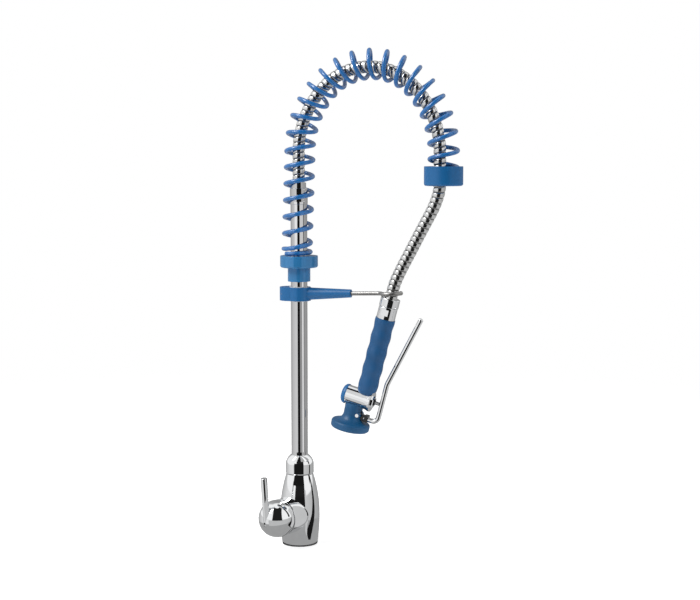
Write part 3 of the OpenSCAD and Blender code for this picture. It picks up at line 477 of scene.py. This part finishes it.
def hose_armour():
    """Wound stainless strip: bright crowns, with dull painted shade down in the grooves."""
    material, tree, place, shader = new_material("stainless_strip_wound")
    colour = colours().armour
    shader.inputs["Metallic"].default_value = 1.0
    crown = add(tree, "Attribute", attribute_name="crown").outputs["Fac"]
    scuff = noise(tree, place, 400.0, 3.0)
    # Painted shade: the grooves are coloured dark grey, the crowns keep the steel's own colour
    shade = ramp(tree, crown, linear("#4A4946"), colour)
    shade_and_scuffs = add(tree, "Mix", {"Factor": scuff, "A": shade}, data_type="RGBA", blend_type="MULTIPLY")
    shade_and_scuffs.inputs["B"].default_value = rgba(linear("#E6E4E0"))
    link_surface(tree, shader, shade_and_scuffs.outputs["Result"], spread(tree, crown, 0.42, 0.16),
                 scuff, 0.1, 0.0002)
    return material


def moulded_blue(name, colour, roughness, grain_mm, grain, coat=0.0, coat_roughness=0.2):
    """Moulded plastic: fine grain from the mould breaks up the sheen, and the colour drifts a
    little where the wall thickness changes."""
    material, tree, place, shader = new_material(name)
    shader.inputs["IOR"].default_value = 1.5
    shader.inputs["Coat Weight"].default_value = coat
    shader.inputs["Coat Roughness"].default_value = coat_roughness
    grit = noise(tree, place, 1000 / grain_mm, 2.0)
    drift = noise(tree, place, 28.0, 2.0)
    link_surface(tree, shader, ramp(tree, drift, tone(colour, 0.88), tone(colour, 1.1)),
                 spread(tree, grit, roughness * 0.85, roughness * 1.15), grit, grain, 0.0002)
    return material


def plain_moulding(name, colour, roughness):
    """Plain moulded part, seldom seen: a dull even skin with light grain."""
    return moulded_blue(name, linear(colour), roughness, 0.5, 0.15)


def turned_metal(name, colour, roughness):
    """Turned or rolled metal: fine tool rings show as slight changes of gloss."""
    return drawn_steel(name, linear(colour), roughness, 0.4, (1, 1, 1))


def all_materials():
    """Every finish of the record's slots and of the pieces that differ from their slot."""
    shades = colours()
    return {
        # Cast body and nut: broad reflections that wander a little
        "chrome_body": chrome_plating("chrome_on_cast_brass", shades.chrome, 38, 0.10),
        # Riser: straight dark and light stripes, a little duller
        "chrome_pipe": chrome_plating("chrome_on_drawn_tube", shades.pipe, 60, 0.03),
        # Small turned pieces: crisp edges and highlights
        "chrome_trim": chrome_plating("chrome_on_turned_brass", shades.chrome, 25, 0.05),
        # Screws and rose plate: a soft grey gleam
        "steel": turned_metal("stainless_turned", "#B9B9B8", 0.25),
        # Hook: one satin streak along the rod
        "hook_steel": drawn_steel("stainless_rod_satin", linear("#A9A8A6"), 0.38, 0.5,
                                  (0.04, 1, 1)),
        # Hoses: bright ribs, with painted shade darkening the grooves between them
        "hose_armour": hose_armour(),
        # Inner fittings: warm yellow metal
        "brass": turned_metal("brass_turned", "#C9A85C", 0.3),
        # Discs of the cartridge: smooth white
        "ceramic": plain_moulding("alumina_lapped", "#F2EFE8", 0.15),
        # Seals and gasket: dull black
        "black_rubber": plain_moulding("rubber_moulded_black", "#1B1B1D", 0.6),
        # Rim of the spray head: dull dark blue
        "blue_rubber": moulded_blue("rubber_moulded_blue", shades.head, 0.5, 0.6, 0.2),
        # Bushes and liner: dull off-white
        "white_plastic": plain_moulding("acetal_moulded_white", "#E4E3DC", 0.4),
        # Block of the spray lever: deep black with one small highlight
        "black_plastic": moulded_blue("nylon_moulded_gloss_black", linear("#08090B"), 0.16, 2.0,
                                      0.1),
        # Upper collar, arm and end cap: even blue with a soft sheen
        "blue_plastic": moulded_blue("nylon_moulded_blue", shades.moulding, 0.4, 0.5, 0.15),
        # Grip: soft and nearly matt, a little darker
        "blue_grip": moulded_blue("elastomer_moulded_blue", shades.grip, 0.5, 0.45, 0.25),
        # Spring: brighter blue with a glossy skin that lights up along each turn
        "blue_spring": moulded_blue("nylon_dip_coat_blue", shades.spring, 0.3, 1.6, 0.12, coat=0.7,
                                    coat_roughness=0.1),
        # Lower collar: lighter blue and slightly glossier
        "collar_blue": moulded_blue("nylon_moulded_light_blue", shades.lower_collar, 0.36, 0.5,
                                    0.15, coat=0.3),
        # Spray head: darker blue with a soft sheen
        "head_blue": moulded_blue("nylon_moulded_dark_blue", shades.head, 0.42, 0.5, 0.15),
    }


STORE = {}


def material_of(slot):
    """The finish of a slot of the record, made once."""
    if "finishes" not in STORE:
        STORE["finishes"] = all_materials()
    return STORE["finishes"][slot]


def dress(piece, slot, body):
    """Give a new piece its finish and the body that it moves with."""
    piece.data.materials.clear()
    piece.data.materials.append(material_of(slot))
    if body:
        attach(piece, body)
    return piece


# ---------------------------------------------------------------- operators


class FaucetStep:
    """What every step shares."""
    bl_options = {"REGISTER", "UNDO"}


class FAUCET_OT_stage(FaucetStep, bpy.types.Operator):
    """Camera, floor and soft studio light"""
    bl_idname = "faucet.stage"
    bl_label = "Stage"

    def execute(self, context):
        scene = context.scene
        azimuth, pitch = math.radians(CAMERA_TURN), math.radians(CAMERA_PITCH)
        lens = bpy.data.cameras.new("studio_camera")
        lens.lens = sizes().lens
        lens.sensor_width = 36
        lens.clip_end = 50
        camera = bpy.data.objects.new("studio_camera", lens)
        camera.location = CAMERA_SPOT
        camera.rotation_euler = (math.pi / 2 - pitch, 0, azimuth)
        scene.collection.objects.link(camera)
        scene.camera = camera
        scene.view_settings.view_transform = "Standard"
        self.floor()
        self.light(scene)
        return {"FINISHED"}

    def floor(self):
        """A pale floor that fades into the surround, and what only the chrome sees."""
        def disc(radius, height):
            def make(work):
                ring = [work.verts.new((radius * math.cos(a), radius * math.sin(a), height))
                        for a in (2 * math.pi * k / FLOOR_SIDES for k in range(FLOOR_SIDES))]
                work.faces.new(ring)
            return make
        # Matt paper that glows a little: white up to its edge, with only faint shadows
        material, tree, place, shader = new_material("paper_matt_white")
        shader.inputs["Roughness"].default_value = 0.9
        shader.inputs["Specular IOR Level"].default_value = 0.1
        shader.inputs["Emission Color"].default_value = (1, 1, 1, 1)
        shader.inputs["Emission Strength"].default_value = FLOOR_GLOW
        colour = colours().floor
        paper = ramp(tree, noise(tree, place, 6.0, 2.0), tone(colour, 0.98), colour)
        tree.links.new(paper, shader.inputs["Base Color"])
        away = add(tree, "VectorMath", {"Vector": place}, operation="LENGTH").outputs["Value"]
        fade = add(tree, "MapRange",
                   {"Value": away, "From Min": FLOOR_FADE_FROM, "From Max": FLOOR_FADE_TO},
                   interpolation_type="SMOOTHSTEP").outputs["Result"]
        clear = add(tree, "BsdfTransparent")
        blend = add(tree, "MixShader",
                    {0: fade, 1: shader.outputs["BSDF"], 2: clear.outputs["BSDF"]})
        output = next(n for n in tree.nodes if n.type == "OUTPUT_MATERIAL")
        tree.links.new(blend.outputs["Shader"], output.inputs["Surface"])
        floor = finish_mesh("studio_floor", disc(FLOOR_RADIUS, 0), smooth=False)
        floor.data.materials.append(material)
        floor.visible_glossy = False

        # Only the chrome sees the rest, all glowing as painted reflections: the near floor, light
        # and dark cards that stand round the riser and lie round its foot, a fin beside the boss,
        # and cards round the valve body
        self.reflected("studio_floor_near", "floor", NEAR_FLOOR_SHADE,
                       disc(NEAR_FLOOR_RADIUS, NEAR_FLOOR_HEIGHT))
        for name, (shade, outline) in CARDS.items():
            self.reflected("studio_card_" + name, name, shade, self.card(outline))
        self.reflected("studio_fin", "fin", FIN_SHADE, self.fin)
        for name, (shade, radius, reach, turns) in VALVE_CARDS.items():
            self.reflected("studio_card_" + name, name, shade,
                           self.valve_card(radius, reach, turns))

    def reflected(self, name, paint, shade, make):
        """An evenly glowing piece of the studio that is seen only by the chrome, where it shows as
        a painted reflection.
        """
        piece = finish_mesh(name, make, smooth=False)
        piece.data.materials.append(self.card_paint(paint, shade))
        piece.visible_camera = piece.visible_diffuse = piece.visible_shadow = False

    def valve_card(self, radius, reach, turns):
        """A bent card round the valve body's axis, between two angles up from its front."""
        across, down = handset_axes()
        middle = HANDSET_TOP + down * VALVE_S

        def make(work):
            low, high = turns
            angles = [math.radians(low + (high - low) * k / VALVE_CARD_STEPS)
                      for k in range(VALVE_CARD_STEPS + 1)]
            rows = []
            for q in reach:
                rows.append([work.verts.new((middle + across * q + radius * (
                    Vector((0, -math.cos(a), 0)) - down * math.sin(a))) * MM) for a in angles])
            for k in range(VALVE_CARD_STEPS):
                work.faces.new((rows[0][k], rows[0][k + 1], rows[1][k + 1], rows[1][k]))
        return make

    def fin(self, work):
        """A flat card that stands out from the body, edge on to its axis."""
        a = math.radians(-90 + CAMERA_TURN + FIN_TURN)
        near, far = FIN_RADII
        foot, top = FIN_HEIGHTS
        work.faces.new([work.verts.new((r * math.cos(a), r * math.sin(a), z))
                        for r, z in ((near, foot), (far, foot), (far, top), (near, top))])

    def card(self, outline):
        """A bent card round the Z axis, its two edges given at a few heights."""
        def make(work):
            rows = []
            for radius, z, low, high in outline:
                turns = [math.radians(-90 + CAMERA_TURN + low + (high - low) * k / CARD_STEPS)
                         for k in range(CARD_STEPS + 1)]
                rows.append([work.verts.new((radius * math.cos(a), radius * math.sin(a), z))
                             for a in turns])
            for below, over in zip(rows, rows[1:]):
                for k in range(CARD_STEPS):
                    work.faces.new((below[k], below[k + 1], over[k + 1], over[k]))
        return make

    def card_paint(self, name, shade):
        """Matt black card that glows evenly at a painted brightness, a little mottled; no lamp
        lights it.
        """
        material, tree, place, shader = new_material("card_matt_" + name)
        mottle = add(tree, "TexNoise", {"Vector": place, "Scale": 30.0}).outputs["Fac"]
        glow = spread(tree, mottle, shade * 0.94, shade * 1.06)
        tree.links.new(glow, shader.inputs["Emission Strength"])
        shader.inputs["Base Color"].default_value = (0, 0, 0, 1)
        shader.inputs["Specular IOR Level"].default_value = 0.0
        shader.inputs["Emission Color"].default_value = (1, 1, 1, 1)
        return material

    def light(self, scene):
        """The surround that the chrome mirrors, white where the camera sees it, and two lamps."""
        world = bpy.data.worlds.new("studio_surround")
        scene.world = world
        world.use_nodes = True
        tree = world.node_tree
        tree.nodes.clear()
        way = add(tree, "TexCoord").outputs["Generated"]
        # Turned so that the X axis of the surround points from the faucet to the camera
        turned = add(tree, "VectorRotate", {"Vector": way, "Angle": math.radians(90 - CAMERA_TURN)},
                     rotation_type="Z_AXIS")
        split = add(tree, "SeparateXYZ", {"Vector": turned.outputs["Vector"]})
        x, y, z = (split.outputs[k] for k in "XYZ")

        def calc(operation, a, b=0.0, c=0.0):
            return add(tree, "Math", {0: a, 1: b, 2: c}, operation=operation).outputs[0]

        def degrees(angle):
            return calc("MULTIPLY", angle, 180 / math.pi)

        def rest(factor):
            return calc("SUBTRACT", 1.0, factor)

        def blend(below, factor, over):
            return calc("ADD", below, calc("MULTIPLY", factor, calc("SUBTRACT", over, below)))

        def step(value, edge, soft):
            """0 below an edge and 1 above it, eased over a soft width."""
            return add(tree, "MapRange",
                       {"Value": value, "From Min": edge - soft, "From Max": edge + soft},
                       interpolation_type="SMOOTHSTEP").outputs[0]

        def band(value, low, high, soft):
            return calc("SUBTRACT", step(value, low, soft), step(value, high, soft))

        turn = degrees(calc("ARCTAN2", y, x))
        rise = degrees(calc("ARCSINE", z))
        # Grey walls of the room at eye level, by the turn away from the camera, in degrees
        share = calc("ADD", calc("DIVIDE", turn, 360.0), 0.5)
        walls = add(tree, "ValToRGB", {0: share})
        stops = walls.color_ramp.elements
        for spot, (angle, shade) in enumerate(WALL_SHADES):
            stop = stops[spot] if spot < 2 else stops.new(0.5)
            stop.position, stop.color = (angle + 180) / 360, (shade, shade, shade, 1)
        wall = walls.outputs["Color"]
        # The soft boxes hang over the walls on both sides of the faucet, but not behind it
        side = rest(step(calc("ABSOLUTE", turn), *SOFT_BOX_BACK))
        above = calc("MULTIPLY", step(rise, *SOFT_BOX_FOOT),
                     calc("MAXIMUM", side, step(rise, *SOFT_BOX_CROWN)))
        wall = blend(wall, above, 1.0)
        # The pale floor below, darker towards the foot
        floor_tone = calc("ADD", calc("MULTIPLY", step(rise, *FLOOR_FALL), FLOOR_GAIN), FOOT_TONE)
        wall = blend(wall, rest(step(rise, *FLOOR_EDGE)), floor_tone)
        # Dark gap between the soft boxes at the camera, and the dark edge of the right-hand one
        aslant = degrees(calc("ARCSINE", y))
        half = calc("SUBTRACT", GAP_HALF, calc("MULTIPLY", calc("ABSOLUTE", rise), GAP_TAPER))
        aside = calc("SUBTRACT", calc("ABSOLUTE", calc("SUBTRACT", aslant, GAP_MIDDLE)), half)
        gap = calc("MULTIPLY", rest(step(aside, *GAP_SIDE)), band(rise, *GAP_RISE))
        gap = calc("MULTIPLY", gap, step(x, *FRONT_HALF))
        edge = calc("MULTIPLY", band(turn, *EDGE_TURN), band(rise, *EDGE_RISE))
        dark = calc("MAXIMUM", gap, edge)
        level = calc("MULTIPLY", wall, rest(calc("MULTIPLY", dark, DARKENING)))
        sight = add(tree, "LightPath")
        # Less of the surround reaches matt pieces, so the soft boxes shape them
        power = rest(calc("MULTIPLY", sight.outputs["Is Diffuse Ray"], MATT_LOSS))
        seen = add(tree, "Background", {"Color": (1, 1, 1, 1), "Strength": 1.0})
        lit = add(tree, "Background", {"Color": level, "Strength": power})
        mixed = add(tree, "MixShader", {0: sight.outputs["Is Camera Ray"],
                                        1: lit.outputs[0], 2: seen.outputs[0]})
        add(tree, "OutputWorld", {"Surface": mixed.outputs[0]})

        for name, spot, aim, size, power in LAMPS:
            lamp = bpy.data.lights.new(name, "AREA")
            lamp.shape = "RECTANGLE"
            lamp.size, lamp.size_y = size * 0.6, size
            lamp.energy = power
            holder = bpy.data.objects.new(name, lamp)
            holder.location = spot
            facing = Vector(aim) - Vector(spot)
            holder.rotation_euler = facing.to_track_quat("-Z", "Y").to_euler()
            holder.visible_glossy = name == "soft_box_left"
            scene.collection.objects.link(holder)


def rib_drop(phase):
    """How far a point lies below the crown, 0 to 1, at a phase of the winding: a broad round
    crown, then a narrow groove where the strip hooks into its neighbour."""
    x = abs((phase % 1.0) - 0.5) * 2
    crown = CROWN_DROP * min(x / CROWN_WIDTH, 1.0) ** 3
    groove = min(max((x - CROWN_WIDTH) / GROOVE_WIDTH, 0.0), 1.0)
    return crown + GROOVE_DROP * groove * groove * (3 - 2 * groove)


def hose_mesh(name, centres, side):
    """An armoured hose wound from one strip, so the crown and the groove climb as a screw."""
    radius, pitch, depth = sizes().hose / 2 / MM, sizes().rib / MM, sizes().rib_depth / MM
    line = resample(centres, pitch / RIB_STEPS)
    last, look = len(line) - 1, 3
    rings, crowns = [], []
    for i, centre in enumerate(line):
        along = (line[min(i + look, last)] - line[max(i - look, 0)]).normalized()
        drops = [rib_drop(i / RIB_STEPS - k / HOSE_SIDES) for k in range(HOSE_SIDES)]
        ring = ring_round(centre, along, side, 1.0, HOSE_SIDES)
        rings.append([centre + (p - centre) * (radius - drop * depth)
                      for p, drop in zip(ring, drops)])
        crowns += [1.0 - drop for drop in drops]
    made = finish_mesh(name, lambda work: sweep(work, rings))
    layer = made.data.attributes.new("crown", "FLOAT", "POINT")
    layer.data.foreach_set("value", crowns)
    return made


class FAUCET_OT_drop_hose(FaucetStep, bpy.types.Operator):
    """Free hose from the upper collar to the handset"""
    bl_idname = "faucet.drop_hose"
    bl_label = "Drop hose"

    def execute(self, context):
        _, down = handset_axes()
        route = [Vector((HOSE_X + x, 0, CUP_FOOT + z)) for x, z in DROP_ROUTE]
        route.append(route[-1] + down * DROP_STRAIGHT)
        centres = smooth_route(route, ROUTE_STEP)
        hose = hose_mesh("hose_drop_armour", centres, Vector((0, 1, 0)))
        dress(hose, "hose_armour", "hose_end")
        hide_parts("hose_drop")
        path = [tuple(p * MM) for p in resample(centres, CORD_STEP)]
        return {"FINISHED"}


class FAUCET_OT_arch_hose(FaucetStep, bpy.types.Operator):
    """Hose held inside the spring, from the riser to the upper collar"""
    bl_idname = "faucet.arch_hose"
    bl_label = "Arch hose"

    def execute(self, context):
        length = arch_stretches(HOSE_ARCH)[5]
        centres = []
        for i in range(ARCH_STEPS + 1):
            x, z, _ = arch_at(HOSE_ARCH, length * i / ARCH_STEPS)
            centres.append(Vector((x, 0, z)))
        hose = hose_mesh("hose_arch_armour", centres, Vector((0, 1, 0)))
        dress(hose, "hose_armour", None)
        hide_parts("hose_arch")
        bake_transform(hose)
        return {"FINISHED"}


class FAUCET_OT_spring(FaucetStep, bpy.types.Operator):
    """Coated coil spring that carries the hose over the arch"""
    bl_idname = "faucet.spring"
    bl_label = "Spring"

    def execute(self, context):
        wire = sizes().wire / 2 / MM
        radius = sizes().spring / 2 / MM - wire
        turns = sizes().turns
        total = (turns + 2) * TURN_STEPS
        look = 0.005
        rings = []
        for i in range(int(total) + 1):
            turn = i / TURN_STEPS
            centre, out = coil_point(turn, turns, radius)
            ahead, _ = coil_point(turn + look, turns, radius)
            behind, _ = coil_point(max(turn - look, 0), turns, radius)
            rings.append(ring_round(centre, (ahead - behind).normalized(), out, wire, WIRE_SIDES))
        caps = []
        for end, inner in ((rings[0], rings[1]), (rings[-1], rings[-2])):
            middle = sum(end, Vector()) / WIRE_SIDES
            before = sum(inner, Vector()) / WIRE_SIDES
            step = (middle - before).normalized() * WIRE_END_REACH
            caps.append([middle + (p - middle) * WIRE_END_WIDTH + step for p in end])
        rings = [caps[0], *rings, caps[1]]
        spring = finish_mesh("spring_coated", lambda work: sweep(work, rings))
        dress(spring, "blue_spring", None)
        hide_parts("arch_spring")
        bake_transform(spring)
        return {"FINISHED"}


class FAUCET_OT_finishes(FaucetStep, bpy.types.Operator):
    """Finishes of every piece that keeps its CAD shape"""
    bl_idname = "faucet.finishes"
    bl_label = "Finishes"

    def execute(self, context):
        slots = {row["node"]: row["material_slot"] for row in frame["record"]["subparts"]}
        slots.update(lower_collar="collar_blue", spray_neck="head_blue", lever_pin="chrome_trim")
        for name, piece in NODES.items():
            for holder in piece.material_slots:
                holder.material = material_of(slots[name])
        return {"FINISHED"}


class FAUCET_PT_sidebar(bpy.types.Panel):
    """Steps that build the faucet, in order"""
    bl_idname = "FAUCET_PT_sidebar"
    bl_label = "Pre-rinse faucet"
    bl_space_type = "VIEW_3D"
    bl_region_type = "UI"
    bl_category = "Faucet"

    def draw(self, context):
        column = self.layout.column()
        for step in STEPS:
            column.operator(step.bl_idname)
        for group in (context.scene.faucet_sizes, context.scene.faucet_colours):
            box = self.layout.box()
            for key in group.bl_rna.properties.keys():
                if key not in ("rna_type", "name"):
                    box.prop(group, key)


STEPS = (
    FAUCET_OT_stage,
    FAUCET_OT_drop_hose,
    FAUCET_OT_arch_hose,
    FAUCET_OT_spring,
    FAUCET_OT_finishes,
)
CLASSES = (FaucetColours, FaucetSizes, *STEPS, FAUCET_PT_sidebar)


def register():
    for made in CLASSES:
        bpy.utils.register_class(made)
    bpy.types.Scene.faucet_colours = bpy.props.PointerProperty(type=FaucetColours)
    bpy.types.Scene.faucet_sizes = bpy.props.PointerProperty(type=FaucetSizes)


def unregister():
    del bpy.types.Scene.faucet_sizes
    del bpy.types.Scene.faucet_colours
    for made in reversed(CLASSES):
        bpy.utils.unregister_class(made)


def main():
    register()
    for step in STEPS:
        group, name = step.bl_idname.split(".")
        getattr(getattr(bpy.ops, group), name)()


if __name__ == "__main__":
    main()
